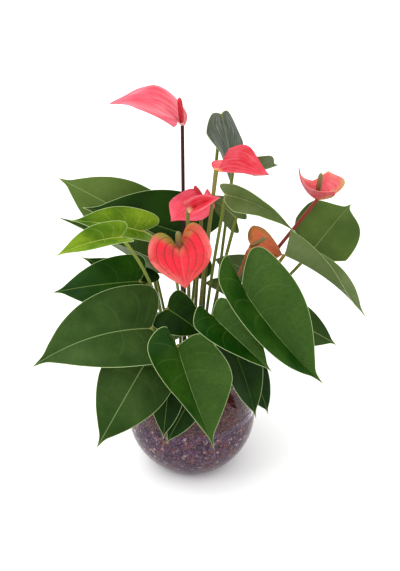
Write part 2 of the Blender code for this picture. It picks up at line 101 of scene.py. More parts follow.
LEAVES = (
    leaf(1, "light", (-22, 22), (-62, 114, 275), (-168, 120, 336), 88, (-10, 40), 8),
    leaf(2, "dark", (-6, 24), (10, 94, 262), (-135, 88, 309), 112, (0, 50), 8, lobe=0.6, fold=6),
    leaf(3, "young", (-15, -1), (-55, -25, 327), (-136, -35, 345), 50, (0, 60), 4, fold=30, lobe=0.8,
        arrive=(-1, -0.2, 0.5), bend=0.25, petiole="lime"),
    leaf(4, "young", (-22, -9), (-76, -70, 340), (-147, -95, 328), 40, (0, 65), 6, fold=30, lobe=0.5,
        arrive=(-0.35, -0.7, 0.8), rise=0.45, petiole="lime"),
    leaf(5, "mid", (-26, 12), (-47, 34, 247), (-160, 40, 317), 82, (0, 85), 4, fold=50, lobe=0.4),
    leaf(6, "fresh", (-32, -6), (-59, -20, 261), (-162, -30, 251), 68, (0, 42), 8, lobe=0.35),
    leaf(7, "fresh", (-32, 4), (-52, 12, 241), (-132, 6, 281), 38, (0, 35), 4, lobe=0.5),
    leaf(8, "mid", (-28, -16), (-45, -67, 224), (-178, -110, 198), 104, (0, 48), 14, fold=16, lobe=0.3,
        sweep=7),
    leaf(9, "mid", (-20, -22), (-46, -61, 189), (-110, -110, 88), 84, (0, 30), 10, lobe=0.6, pinch=-0.1,
        rise=0.5),
    leaf(10, "bright", (1, -20), (-15, -92, 215), (27, -139, 107), 94, (23, 41), -5, fold=(51, 27),
        ease=0.3, lobe=(0.4, 0.87), slant=(0.04, -0.1), lift=(2, 11), lean=-17, twist=-47, pinch=-0.2,
        arrive=(-0.2, -1, 0.4), rise=0.5),
    leaf(11, "dark", (-12, -20), (-28, -40, 236), (17, -52, 206), 54, (0, 45), 4, lobe=0.35),
    leaf(12, "bright", (20, -21), (24, -83, 250), (93, -107, 189), 58, (27, 31), 0, fold=(49, 17),
        ease=0.4, lobe=(0.35, 0.75), slant=(0, -0.04), lift=(1, 13), lean=-22, twist=-38, pinch=-0.1),
    leaf(13, "bright", (12, -12), (58, -53, 270), (153, -90, 164), 106, (34, 75), -2, fold=(53, 22),
        ease=0, lobe=0.9, slant=(0.1, -0.09), lift=(-8, 15), lean=-21, sweep=5, twist=17),
    leaf(14, "mid", (36, -4), (109, 10, 196), (179, 0, 163), 60, (20, 45), 6),
    leaf(15, "olive", (33, 6), (143, 30, 273), (197, 83, 316), 84, (2, 39), 8, fold=17, ease=0.2,
        lobe=(0.2, 0), slant=(0.3, 0.25), lift=5, twist=-16),
    leaf(16, "pale", (27, 2), (108, -24, 297), (205, -46, 225), 70, (8, 118), 8, fold=45, lobe=0.05,
        slant=(0.14, -0.05), sweep=3, twist=50, petiole="amber"),
    leaf(17, "pale", (12, 0), (40, -4, 363), (123, -26, 322), 36, (-20, 41), 8, fold=35, ease=0,
        lobe=(0.45, 0.1), slant=(0.1, 0.18), lean=-12, sweep=-7, twist=64, pinch=0.3),
    leaf(18, "olive", (16, 10), (53, 14, 327), (15, 28, 349), 46, (0, 150), 4),
    leaf(19, "grey", (12, 26), (36, 92, 428), (47, 60, 344), 64, (51, 20), 5, fold=3, lobe=(0.5, 0.3),
        slant=(0.4, 0.25), lift=3, lean=4, twist=-20, pinch=0.25),
    leaf(20, "grey", (27, 38), (50, 37, 383), (103, 44, 382), 54, (-41, 117), -4, fold=(2, 18), ease=0,
        lobe=(-0.05, -0.2), slant=(-0.15, 0.2), lift=-4, sweep=7, twist=-23, pinch=-0.4),
    leaf(21, "grey", (30, 24), (75, 88, 220), (26, 88, 238), 56, (0, 150), 4),
    leaf(22, "grey", (30, 14), (50, 22, 230), (14, 20, 238), 38, (0, 150), 4),
    leaf(23, "dark", (24, -29), (46, -48, 198), (78, -65, 99), 58, (25, 30), 6, fold=30, lobe=(0.6, 1)),
    leaf(24, "dark", (30, -20), (66, -32, 154), (94, -45, 92), 46, (30, 30), 6),
    leaf(25, "dark", (-14, -34), (-26, -64, 147), (-33, -88, 85), 40, (0, 30), 6),
    leaf(26, "dark", (2, -34), (1, -62, 129), (-30, -80, 73), 40, (0, 30), 6),
    leaf(27, "mid", (-14, 30), (-53, 62, 161), (-100, 128, 131), 62, (200, 60), 8),
    leaf(28, "mid", (2, 34), (0, 66, 147), (16, 150, 122), 64, (180, 60), 8),
    leaf(29, "mid", (14, 40), (57, 58, 152), (123, 112, 140), 60, (150, 60), 8),
)
BLOOMS = (
    row("bloom_a", (-8, 16), (-10, 71, 420), (-93, 46, 455), 70, (-3, 79), 14, fold=18, ease=0.8,
        lobe=(-0.35, 0.15), slant=(0.3, 0), lean=5, pinch=-0.35, rise=0.5, spadix=(-13, 60, 459),
        girth=3.4, spadix_seat=5.9),
    row("bloom_b", (6, -5), (29, -27, 401), (88, -20, 394), 88, (9, 118), 0, fold=27, ease=0,
        lobe=(0.3, -0.1), slant=(0.44, 0.1), lift=13, lean=6, twist=-37, spadix=(45, -25, 415),
        girth=2.2, spadix_seat=5.8),
    row("bloom_c", (2, 8), (14, 24, 348), (-23, -10, 333), 39, (15, 47), -6, fold=9, ease=0.8,
        lobe=(0.45, 0.15), slant=(0, 0.2), lean=25, twist=27, pinch=-0.25, spadix=(4, 15, 367),
        girth=2.8, spadix_seat=3.2),
    row("bloom_d", (-2, -10), (-3, -29, 354), (34, -28, 370), 32, (15, 30), -1, fold=(58, 64), ease=0.4,
        lobe=0, slant=0.04, sweep=-2, twist=-9, spadix=(-7, -30, 367), girth=1.4, spadix_seat=4.1),
    row("bloom_e", (-8, -12), (-12, -60, 321), (-5, -86, 285), 73, (0, 28), 0, fold=18, lobe=(1.2, 0.95),
        slant=(0.04, 0), lift=4, twist=-12, arrive=(0, -1, 0.5), rise=0.6, spadix=(-13, -76, 350),
        girth=3.8, spadix_seat=5.5),
    row("bloom_f", (22, 8), (148, 26, 345), (126, 38, 386), 73, (72, 19), -5, fold=52, ease=0.95,
        lobe=(0.25, 0.8), slant=0.05, lift=6, lean=5, sweep=-7, twist=17, pinch=0.5,
        spadix=(150, 16, 383), girth=3.4, spadix_seat=6.6),
    row("bloom_g", (19, -6), (70, -10, 302), (108, 0, 286), 50, (0, 40), 3, lobe=0.3,
        spadix=(87, -20, 317), girth=2.6, spadix_seat=2.4),
)

# The bowl and the soil, as in the solids.
BOWL_RADIUS = 80.0
BOWL_CENTRE_Z = 68.0
BOWL_WALL = 3.6
BOWL_FLOOR = 8.0
BOWL_RIM_Z = 118.0
BOWL_LIP = 2.4
SOIL_Z = 74.0
SOIL_PRESS = 0.1

# The stalks, as in the solids. A stem runs on a little into its spathe.
FOOT_Z = 64.0
CROWN_Z = 79.0
PETIOLE_RADIUS = 2.1
STEM_RADIUS = 2.2
PETIOLE_GAP = 0.3
STEM_INTO_SPATHE = 0.6
RISE = 0.4
BEND = 0.3

# The blades. A lobe's lift and lean are whole, and a pinch is, at these shares of the midrib.
LOBE_BACK = 0.27
PINCH_AHEAD = 0.4
LATERALS = 9
VEIN_ARCH = 0.10
SWELL = 0.5
EDGE_WAVE = 0.7
LEAF_THICKNESS = (0.35, 0.75)
SPATHE_THICKNESS = (0.5, 0.85)
THICKER_INWARDS = 0.05
MIDRIB_BELOW = 0.5
MIDRIB_GROOVE = 0.3

# The spadix: its thickness from the foot to the end, as shares of the way and of the girth.
SPADIX_SHAPE = ((0, 0.12, 0.5, 0.85, 0.95, 1), (0.7, 0.95, 1.0, 0.85, 0.6, 0.15))
SPADIX_LENGTH = 0.97

# How finely the pieces are made.
ROW_STEPS = 5
STALK_RINGS = 36
STALK_SIDES = 12
SPADIX_RINGS = 24
SPADIX_SIDES = 16
BOWL_SIDES = 144
SOIL_SIDES = 120
SHARP_ANGLE = 60
COLUMNS = np.array((0, 0.02, 0.05, 0.1, 0.17, 0.26, 0.36, 0.47, 0.58, 0.69, 0.79, 0.88, 0.94,
                    0.98, 1))

# The bark: pushed up this much at this distance from the middle, with crumbs on it and with
# chips of these smallest and largest sizes, kept this far from the stalks.
HEAP = 5.5
HEAP_AT = 75
CRUMB = 0.8
CHIP_SMALL = (3.0, 2.0, 1.0)
CHIP_LARGE = (7.5, 4.5, 2.2)
CHIP_REACH = 71
CHIP_SPREAD = 0.35
CHIP_CLEAR = 2.5
CHIP_TILT = 0.4
CHIP_ROUGH = 0.16
CHIP_RAISED = 0.3
CHIP_SEED = 7

# The glass, and the tint that light takes up on its way through it.
GLASS_IOR = 1.3
GLASS_DEPTH = (0.84, 0.78, 0.89)
GLASS_DENSITY = 90.0

# The camera and the light, in metres and degrees.
CAMERA_PLACE = (0.0108, -1.1329, 0.8226)
CAMERA_TILT = 63.0
CAMERA_VIEW = 30.0
CAMERA_FILM = 36.0
CAMERA_REACH = 100.0
LIGHT_PLACE = (-0.75, -0.25, 1.15)
LIGHT_TARGET = (0.0, 0.0, 0.22)
LIGHT_SIZE = 1.4
FLOOR_SIZE = 30.0

# The greens of each kind of leaf, from the photograph: deep, paler cloud, veins.
LEAF_GREENS = dict(
    dark=((0.003, 0.016, 0.001), (0.01, 0.036, 0.001), (0.07, 0.12, 0.02)),
    mid=((0.013, 0.036, 0.004), (0.036, 0.072, 0.013), (0.18, 0.25, 0.09)),
    fresh=((0.004, 0.024, 0.001), (0.012, 0.05, 0.001), (0.09, 0.15, 0.03)),
    bright=((0.004, 0.03, 0.001), (0.024, 0.07, 0.005), (0.2, 0.3, 0.1)),
    olive=((0.038, 0.072, 0.011), (0.07, 0.115, 0.022), (0.16, 0.22, 0.07)),
    light=((0.052, 0.098, 0.014), (0.085, 0.135, 0.028), (0.18, 0.24, 0.08)),
    pale=((0.07, 0.105, 0.024), (0.12, 0.16, 0.062), (0.24, 0.28, 0.13)),
    grey=((0.036, 0.05, 0.03), (0.085, 0.1, 0.072), (0.15, 0.17, 0.12)),
    young=((0.028, 0.082, 0.001), (0.145, 0.23, 0.008), (0.36, 0.44, 0.1)))
# Bright leaves get one half painted paler, a painted sheen and light.
# Grey leaves get pale streaks, a painted streaky sheen.
LEAF_EXTRAS = dict(bright=dict(painted_sheen_half=0.5), grey=dict(streaks=0.5),
                   young=dict(vein_boost=2.2), dark=dict(vein_boost=0.6))
UNDER_GREENS = ((0.12, 0.16, 0.06), (0.22, 0.27, 0.10))
YOUNG_UNDER_GREENS = ((0.10, 0.18, 0.02), (0.14, 0.23, 0.03), (0.26, 0.34, 0.08))
# Painted sheen: the paler green laid on one half of a bright leaf, as where light falls on it.
PAINTED_SHEEN_GREEN = (0.058, 0.112, 0.020)
# Painted sheen: the pale grey of the streaky highlights on grey leaves.
SHEEN_STREAK_GREY = (0.30, 0.32, 0.29)
JOINT_SPOT = (0.32, 0.28, 0.06)
PETIOLE_COLOURS = dict(
    green=((0.045, 0.065, 0.008), (0.13, 0.16, 0.02)),
    amber=((0.07, 0.06, 0.010), (0.26, 0.16, 0.02)),
    lime=((0.10, 0.13, 0.015), (0.22, 0.27, 0.05)))

# The colours of each bloom, from the photograph. back is the outer side.
BLOOM_LOOKS = dict(
    bloom_a=dict(
        main=(0.66, 0.075, 0.115), rim=(0.6, 0.08, 0.12), back=(0.6, 0.05, 0.08),
        deep=(0.58, 0.022, 0.05), vein=(0.75, 0.24, 0.28), veins=0.15, streaks=0.5,
        base=(0.75, 0.38, 0.28), stem=((0.02, 0.008, 0.004), (0.035, 0.006, 0.006)),
        spadix=((0.6, 0.008, 0.02), (0.62, 0.01, 0.03))),
    bloom_b=dict(
        main=(0.7, 0.02, 0.05), rim=(0.68, 0.06, 0.09), back=(0.68, 0.06, 0.09),
        deep=(0.58, 0.006, 0.018), vein=(0.72, 0.2, 0.22), veins=0.1, streaks=0.3, shade=0.8,
        base=(0.8, 0.3, 0.12), base_share=1.0, stem=((0.07, 0.08, 0.015), (0.16, 0.14, 0.03)),
        spadix=((0.6, 0.3, 0.08), (0.65, 0.5, 0.1))),
    bloom_c=dict(
        main=(0.64, 0.045, 0.08), rim=(0.65, 0.08, 0.13), back=(0.64, 0.06, 0.1),
        deep=(0.55, 0.025, 0.045), vein=(0.68, 0.15, 0.18), base=(0.7, 0.25, 0.2),
        stem=((0.07, 0.08, 0.015), (0.16, 0.14, 0.03)),
        spadix=((0.6, 0.008, 0.02), (0.62, 0.01, 0.03))),
    bloom_d=dict(
        main=(0.62, 0.01, 0.03), rim=(0.64, 0.06, 0.09), back=(0.64, 0.085, 0.12),
        deep=(0.52, 0.006, 0.014), vein=(0.72, 0.24, 0.26), streaks=0.6,
        base=(0.85, 0.6, 0.36), base_share=1.0, stem=((0.08, 0.09, 0.02), (0.18, 0.17, 0.04)),
        spadix=((0.5, 0.12, 0.05), (0.5, 0.16, 0.05))),
    bloom_e=dict(
        main=(0.66, 0.014, 0.03), rim=(0.58, 0.13, 0.11), back=(0.6, 0.1, 0.06),
        deep=(0.5, 0.022, 0.026), rim_reach=11.0, vein=(0.16, 0.006, 0.008), veins=0.65,
        streaks=0.0, shade=0.75, green=0.95, green_colour=(0.19, 0.19, 0.02), lobe_end=0.27,
        green_reach=17.0, midrib=(0.66, 0.1, 0.11), midrib_share=0.5, specks=0.5, quilt=1.0,
        base=(0.8, 0.2, 0.12), base_share=0.4, stem=((0.05, 0.05, 0.015), (0.08, 0.06, 0.02)),
        spadix=((0.12, 0.05, 0.02), (0.17, 0.15, 0.025))),
    bloom_f=dict(
        main=(0.68, 0.09, 0.12), rim=(0.62, 0.2, 0.15), back=(0.64, 0.1, 0.13),
        deep=(0.6, 0.025, 0.05), vein=(0.68, 0.22, 0.18), veins=0.25, green=0.75,
        green_colour=(0.42, 0.36, 0.1), base=(0.5, 0.1, 0.05),
        stem=((0.04, 0.012, 0.01), (0.2, 0.03, 0.02)),
        spadix=((0.22, 0.1, 0.03), (0.19, 0.15, 0.035))),
    bloom_g=dict(
        main=(0.52, 0.12, 0.04), rim=(0.3, 0.14, 0.03), back=(0.48, 0.11, 0.04),
        deep=(0.36, 0.05, 0.012), vein=(0.5, 0.15, 0.06), green=0.9,
        green_colour=(0.1, 0.09, 0.012), base=(0.5, 0.2, 0.05),
        stem=((0.08, 0.04, 0.012), (0.24, 0.09, 0.03)),
        spadix=((0.24, 0.12, 0.03), (0.15, 0.14, 0.03))))
# What a bloom has where its look says nothing else.
USUAL_LOOK = dict(rim_reach=9.0, green=0.0, green_colour=(0.30, 0.30, 0.05), lobe_end=0.3,
                  green_reach=8.0, shade=0.6, veins=0.2, streaks=0.35, base_share=0.8,
                  specks=0.06, quilt=0.3)
SPECK_RED = (0.25, 0.02, 0.02)
TIP_BROWN = (0.25, 0.05, 0.03)
# Painted shade in the gaps between the spadix's beads.
PAINTED_BEAD_SHADE = (0.05, 0.01, 0.005)

# Peat and bark, each at the glass and where it lies open on top, the top ones redder partly as painted
# light against the leaves' shade, and the painted shade in the gaps between them.
PEAT_ON_TOP = (0.10, 0.008, 0.008)
BARK_AT_GLASS = (0.22, 0.115, 0.190)
BARK_ON_TOP = (0.42, 0.055, 0.030)
# Painted shade in the gaps between the bark pieces.
PAINTED_GAP_SHADE = (0.02, 0.006, 0.010)


def unit(vector):
    """The vector, or each row of many, made one long."""
    vector = np.asarray(vector, float)
    return vector / np.linalg.norm(vector, axis=-1, keepdims=True)


def smooth_rows(rows, steps):
    """Rows of numbers with even steps between them, on one smooth curve through them all."""
    rows = np.asarray(rows, float)
    ends = np.vstack((2 * rows[0] - rows[1], rows, 2 * rows[-1] - rows[-2]))
    made = []
    for i in range(len(rows) - 1):
        before, start, end, after = ends[i:i + 4]
        for t in np.arange(steps) / steps:
            made.append(0.5 * (2 * start + (end - before) * t
                               + (2 * before - 5 * start + 4 * end - after) * t ** 2
                               + (3 * start - before - 3 * end + after) * t ** 3))
    return np.array(made + [rows[-1]])


class Blade:
    """A heart-shaped blade: a midrib that arches from the joint to the tip, with two halves."""

    def __init__(self, spec, half):
        self.joint = np.asarray(spec["joint"], float)
        span = np.asarray(spec["tip"], float) - self.joint
        self.length = np.linalg.norm(span)
        self.along = unit(span)
        azimuth, elevation = np.radians(spec["face"])
        look = np.array((math.sin(azimuth) * math.cos(elevation),
                         -math.cos(azimuth) * math.cos(elevation), math.sin(elevation)))
        self.normal = unit(look - look.dot(self.along) * self.along)
        self.side = np.cross(self.along, self.normal)
        self.rows = smooth_rows(half, ROW_STEPS)
        self.spec = spec

    def get(self, key, usual=0.0):
        return self.spec.get(key, usual)

    def get_half(self, key, usual, sign):
        """A value that may be given once for both halves or as a pair, one for each."""
        value = self.get(key, usual)
        return value if np.isscalar(value) else value[(1 + sign) // 2]

    def midrib(self, share):
        """Points on the midrib, which runs straight on behind the joint for the lobes."""
        curve = np.where(share > 0, 4 * share * (1 - share), 4 * share)[..., None]
        return (self.joint + self.along * self.length * share[..., None]
                + self.normal * self.get("arch") * curve + self.side * self.get("sweep") * curve)

    def half_sheet(self, sign):
        """The points of one half, as rows along the edge and columns from midrib to edge."""
        back, wide, root = (self.rows[:, i][:, None] for i in range(3))
        across = COLUMNS[None, :]
        lobed = back < 0
        back = np.where(lobed, back * self.get_half("lobe", 1, sign), back)
        pinch = self.get("pinch") * np.clip(back / PINCH_AHEAD, 0, 1)
        wide = np.maximum(wide, 0) * (1 - pinch)
        share = root + (back - root) * across
        reach = wide * across * self.get("width") / 2
        centre = self.midrib(share)
        ahead = unit(self.midrib(share + 0.001) - centre)
        up = unit(np.cross(self.side, ahead))
        out = np.cross(ahead, up)
        turn = (math.radians(self.get("twist")) * np.maximum(share, 0))[..., None]
        up, out = up * np.cos(turn) + out * np.sin(turn), out * np.cos(turn) - up * np.sin(turn)
        fold = math.radians(self.get_half("fold", 0, sign))
        angle = fold * (1 - self.get("ease", 0.5) * np.clip(share, 0, 1))
        rise = reach * np.sin(angle)
        behind = np.where(lobed, back / LOBE_BACK, 0) ** 2 * across
        rise += self.get_half("lift", 0, sign) * behind + self.relief(across, sign)
        slant = self.get_half("slant", 0, sign) * self.length * (wide * across) ** 2
        lean = self.get("lean") * behind
        return (centre + out * (sign * reach * np.cos(angle))[..., None] + up * rise[..., None]
                + self.side * lean[..., None] + self.along * slant[..., None])

    def relief(self, across, sign):
        """The soft swell between the side veins, and a slight wave of the edge."""
        place = np.linspace(0, 1, len(self.rows))[:, None]
        rib = (place - VEIN_ARCH * across ** 2) * LATERALS
        swell = np.abs(np.sin(math.pi * rib)) * np.sin(math.pi * across)
        wave = np.sin(math.tau * (3 * place + 0.3 * sign)) * across ** 3
        ends = np.clip(4 * place, 0, 1) * np.clip(5 * (1 - place), 0, 1)
        return (SWELL * swell + EDGE_WAVE * wave) * ends

    def sheet(self):
        """Points, quads and the place (along the edge, from midrib to edge) of every point."""
        rows, columns = len(self.rows), len(COLUMNS)
        points, faces, places = [], [], []
        for sign in (-1, 1):
            first = len(places)
            points.append(self.half_sheet(sign).reshape(-1, 3))
            for i in range(rows):
                places += [(i / (rows - 1), v) for v in COLUMNS]
            for i in range(rows - 1):
                for k in range(columns - 1):
                    a = first + i * columns + k
                    b, c, d = a + columns, a + columns + 1, a + 1
                    faces.append((a, d, c, b) if sign < 0 else (a, b, c, d))
        return np.vstack(points), faces, np.array(places)


def distance_to_line(points, line):
    """The distance of every point to a line of many short pieces."""
    start, step = line[:-1], line[1:] - line[:-1]
    size = np.maximum((step ** 2).sum(1), 1e-9)
    best = np.full(len(points), 1e9)
    for s, d, q in zip(start, step, size):
        t = np.clip(((points - s) @ d) / q, 0, 1)
        best = np.minimum(best, np.linalg.norm(points - s - t[:, None] * d, axis=1))
    return best


def blade_mesh(blade, edge_thickness, rib_thickness):
    """The blade as a closed thin body, with what its finish needs at every point."""
    points, faces, places = blade.sheet()
    normals = np.zeros_like(points)
    for corner in ((0, 1, 2), (0, 2, 3)):
        a, b, c = (points[[face[i] for face in faces]] for i in corner)
        normal = np.cross(b - a, c - a)
        for i in range(4):
            np.add.at(normals, [face[i] for face in faces], normal)
    count, columns = len(points), len(COLUMNS)
    half = count // 2
    mid = np.arange(0, half, columns)
    normals[mid] += normals[mid + half]
    normals[mid + half] = normals[mid]
    size = np.linalg.norm(normals, axis=1, keepdims=True)
    normals = np.where(size > 1e-9, normals / np.maximum(size, 1e-9), blade.normal)
    if (normals @ blade.normal).sum() < 0:
        normals = -normals
        faces = [face[::-1] for face in faces]
    edges = [half * side + np.arange(columns - 1, half, columns) for side in (0, 1)]
    edge = np.minimum(*(distance_to_line(points, points[line]) for line in edges))
    rib = distance_to_line(points, blade.midrib(np.linspace(0, 1, 30)))
    root = np.linalg.norm(points - blade.joint, axis=1)
    ahead = np.clip((points - blade.joint) @ blade.along / blade.length, 0, 1)
    thick = np.minimum(edge_thickness + THICKER_INWARDS * edge, rib_thickness) / 2
    ridge = MIDRIB_BELOW * np.exp(-rib ** 2) * (1 - ahead) * (edge > 1)
    upper = points + normals * (thick - MIDRIB_GROOVE * ridge)[:, None]
    under = points - normals * (thick + ridge)[:, None]
    all_faces = list(faces) + [tuple(i + count for i in face[::-1]) for face in faces]
    kinds = [0] * len(faces) + [1] * len(faces)
    for side, line in enumerate(edges):
        for a, b in zip(line, line[1:]):
            rim = (a, b, b + count, a + count) if side == 0 else (b, a, a + count, b + count)
            all_faces.append(rim)
            kinds.append(0)
    values = dict(edge=edge, rib=rib, root=root, ahead=ahead, half=np.repeat((1.0, 0.0), half))
    values = {key: np.tile(numbers, 2) for key, numbers in values.items()}
    return np.vstack((upper, under)), all_faces, kinds, np.tile(places, (2, 1)), values


def stalk_path(spec, stop_short):
    """From the foot in the soil, straight up to the crown, then in one bend to the joint."""
    foot, crown = (np.array((*spec["foot"], z), float) for z in (FOOT_Z, CROWN_Z))
    joint = np.asarray(spec["joint"], float)
    span = joint - crown
    reach = np.linalg.norm(span)
    usual = (0.9 * span[0], 0.9 * span[1], 0.6 * max(60.0, span[2]))
    arrive = unit(spec.get("arrive", usual))
    end = joint - arrive * stop_short
    first = crown + np.array((0, 0, reach * spec.get("rise", RISE)))
    second = end - arrive * reach * spec.get("bend", BEND)
    t = np.linspace(0, 1, STALK_RINGS)[:, None]
    bend = ((1 - t) ** 3 * crown + 3 * (1 - t) ** 2 * t * first
            + 3 * (1 - t) * t * t * second + t ** 3 * end)
    return np.vstack((foot, bend))


def tube_mesh(path, radii, sides):
    """A closed tube along a path. Its places are the share round it and the share along it."""
    path = np.asarray(path, float)
    tangents = unit(np.gradient(path, axis=0))
    across = unit(np.cross(tangents[0], (1.0, 0.3, 0.0)))
    lengths = np.concatenate(((0,), np.cumsum(np.linalg.norm(np.diff(path, axis=0), axis=1))))
    points, places = [], []
    for centre, tangent, radius, run in zip(path, tangents, radii, lengths):
        across = unit(across - across.dot(tangent) * tangent)
        other = np.cross(tangent, across)
        for k in range(sides):
            angle = math.tau * k / sides
            points.append(centre + radius * (across * math.cos(angle) + other * math.sin(angle)))
            places.append((2 * abs(k / sides - 0.5), run / lengths[-1]))
    faces = []
    for i in range(len(path) - 1):
        for k in range(sides):
            a, b = i * sides + k, i * sides + (k + 1) % sides
            faces.append((a, b, b + sides, a + sides))
    faces.append(tuple(reversed(range(sides))))
    faces.append(tuple(range((len(path) - 1) * sides, len(path) * sides)))
    return np.array(points), faces, np.array(places)


def add_object(name, data, *materials):
    """An object of a mesh, lamp or camera in the scene, with the mesh's materials."""
    for material in materials:
        data.materials.append(material)
    made = bpy.data.objects.new(name, data)
    bpy.context.scene.collection.objects.link(made)
    return made


def place_piece(piece, node):
    """The piece takes its node's place in the frame."""
    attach(piece, "root")
    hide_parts(node)


def new_piece(node, points, faces, materials, places, kinds=None, values=None):
    """A smooth-shaded piece in a node's place, with points in millimetres and a UV map."""
    mesh = bpy.data.meshes.new("fine_" + node)
    points = np.clip(np.asarray(points, float) * MM, *CAD_BOX)
    mesh.from_pydata([tuple(p) for p in points], [], faces)
    piece = add_object("fine_" + node, mesh, *materials)
    mesh.polygons.foreach_set("material_index", kinds or [0] * len(faces))
    corners = np.zeros(len(mesh.loops), int)
    mesh.loops.foreach_get("vertex_index", corners)
    layer = mesh.uv_layers.new(name="places")
    layer.data.foreach_set("uv", np.asarray(places)[corners].ravel())
    for key, numbers in (values or {}).items():
        mesh.attributes.new(key, "FLOAT", "POINT").data.foreach_set("value", numbers)
    mesh.shade_smooth()
    mesh.set_sharp_from_angle(angle=math.radians(SHARP_ANGLE))
    place_piece(piece, node)


class Finish:
    """A material, with short calls that add and join its nodes."""

    def __init__(self, name, roughness):
        self.material = bpy.data.materials.new(name)
        self.material.use_nodes = True
        self.tree = self.material.node_tree
        self.shader = self.tree.nodes["Principled BSDF"]
        self.shader.inputs["Roughness"].default_value = roughness

    def put(self, socket, value):
        """Joins another node's output to the socket, or sets its colour or number."""
        if isinstance(value, bpy.types.NodeSocket):
            self.tree.links.new(value, socket)
        elif socket.type == "RGBA":
            socket.default_value = (*value, 1.0)
        else:
            socket.default_value = value

    def add(self, kind, settings=None, **inputs):
        """Adds a node and gives its outputs."""
        made = self.tree.nodes.new(kind)
        for key, value in (settings or {}).items():
            setattr(made, key, value)
        for key, value in inputs.items():
            self.put(made.inputs[key.replace("_", " ")], value)
        return made.outputs

    def maths(self, operation, *values):
        made = self.tree.nodes.new("ShaderNodeMath")
        made.operation = operation
        for socket, value in zip(made.inputs, values):
            self.put(socket, value)
        return made.outputs[0]

    def times(self, first, second):
        return self.maths("MULTIPLY", first, second)

    def step(self, value, low, high, to_low=0.0, to_high=1.0):
        """A smooth step of the value from low to high."""
        return self.add("ShaderNodeMapRange", dict(interpolation_type="SMOOTHSTEP"), Value=value,
                        From_Min=low, From_Max=high, To_Min=to_low, To_Max=to_high)[0]

    def fade(self, value, low, high):
        """1 below low, falling smoothly to 0 at high."""
        return self.step(value, low, high, 1.0, 0.0)

    def mix(self, share, first, second):
        """Two colours mixed. Sockets 6 and 7 and output 2 are the ones for colours."""
        made = self.tree.nodes.new("ShaderNodeMix")
        made.data_type = "RGBA"
        for socket, value in ((0, share), (6, first), (7, second)):
            self.put(made.inputs[socket], value)
        return made.outputs[2]

    def lay(self, colour, other, share, amount):
        """The colour with another one laid over it, by a share of an amount."""
        return self.mix(self.times(share, amount), colour, other)

    def value_of(self, name):
        """A value that the mesh holds at every point."""
        return self.add("ShaderNodeAttribute", dict(attribute_name=name))["Fac"]

    def places(self):
        """The UV map's two shares."""
        made = self.add("ShaderNodeUVMap", dict(uv_map="places"))[0]
        return self.add("ShaderNodeSeparateXYZ", Vector=made)[:2]

    def position(self):
        return self.add("ShaderNodeTexCoord")["Object"]

    def noise(self, scale, detail, vector=None):
        return self.add("ShaderNodeTexNoise", Vector=vector or self.position(), Scale=scale,
                        Detail=detail)[0]

    def bump(self, height, strength, distance):
        return self.add("ShaderNodeBump", Height=height, Strength=strength, Distance=distance)[0]

    def set(self, **inputs):
        """Sets the shader's own sockets and gives the material."""
        for key, value in inputs.items():
            self.put(self.shader.inputs[key.replace("_", " ")], value)
        return self.material

    def streaks(self, along, across):
        """Noise drawn out along the blade's veins."""
        vector = self.add("ShaderNodeCombineXYZ", X=self.times(along, 3.5),
                          Y=self.times(across, 11.0), Z=self.times(self.noise(9.0, 0.0), 4.0))
        return self.noise(1.0, 2.0, vector[0])

    def side_veins(self):
        """1 on the arched side veins, fading out near the edge and the tip."""
        along, across = self.places()
        bent = self.maths("SUBTRACT", along, self.times(self.times(across, across), VEIN_ARCH))
        near = self.maths("PINGPONG", self.times(bent, float(LATERALS)), 0.5)
        line = self.times(self.fade(near, 0.02, 0.05), self.fade(across, 0.8, 0.98))
        return self.times(line, self.fade(along, 0.75, 0.9))


def leaf_finish(name, greens, settings, under=False, painted_sheen_half=0.0, streaks=0.0, vein_boost=1.0):
    """One side of a leaf: mottled green, paler veins and a thin pale line at the edge. Some kinds get
    painted sheen: one half laid paler, and pale streaks along the veins.
    """
    finish = Finish(name, settings.gloss + (0.12 if under else 0.0))
    deep, light, vein = greens
    rib, edge, ahead, root = (finish.value_of(key) for key in ("rib", "edge", "ahead", "root"))
    colour = finish.mix(finish.step(finish.noise(22.0, 5.0), 0.3, 0.7), deep, light)
    # Painted sheen and light: one half of the blade laid paler.
    colour = finish.lay(colour, PAINTED_SHEEN_GREEN, finish.value_of("half"), painted_sheen_half)
    # Painted sheen: pale streaks along the veins, standing in for streaky highlights.
    streak = finish.step(finish.streaks(*finish.places()), 0.45, 0.75)
    colour = finish.lay(colour, SHEEN_STREAK_GREY, streak, streaks)
    grain = finish.step(finish.noise(260.0, 6.0), 0.35, 0.65, 0.0, settings.grain)
    colour = finish.mix(grain, colour, deep)
    veins = finish.side_veins()
    near_joint = finish.step(root, 12.0, 75.0, 1.0, 0.15)
    strength = finish.times(near_joint, settings.vein_strength * vein_boost)
    colour = finish.lay(colour, vein, veins, strength)
    rib_half = finish.maths("MULTIPLY_ADD", ahead, -0.45, 0.75)
    rib_line = finish.fade(finish.maths("DIVIDE", rib, rib_half), 0.7, 1.3)
    colour = finish.lay(colour, vein, rib_line, 0.85)
    line_width = settings.margin_width / MM
    margin = finish.fade(edge, line_width * 0.6, line_width * 1.1)
    colour = finish.lay(colour, settings.margin_colour, margin, 0.0 if under else 0.9)
    colour = finish.mix(finish.step(root, 1.2, 3.0, 0.8, 0.0), colour, JOINT_SPOT)
    net = finish.add("ShaderNodeTexVoronoi", dict(feature="DISTANCE_TO_EDGE"),
                     Vector=finish.position(), Scale=420.0)[0]
    height = finish.maths("ADD", finish.times(finish.step(net, 0.0, 0.2), 0.12),
                          finish.times(veins, -0.6))
    return finish.set(Base_Color=colour, Normal=finish.bump(height, 0.35, 0.0006),
                      Specular_IOR_Level=0.06)


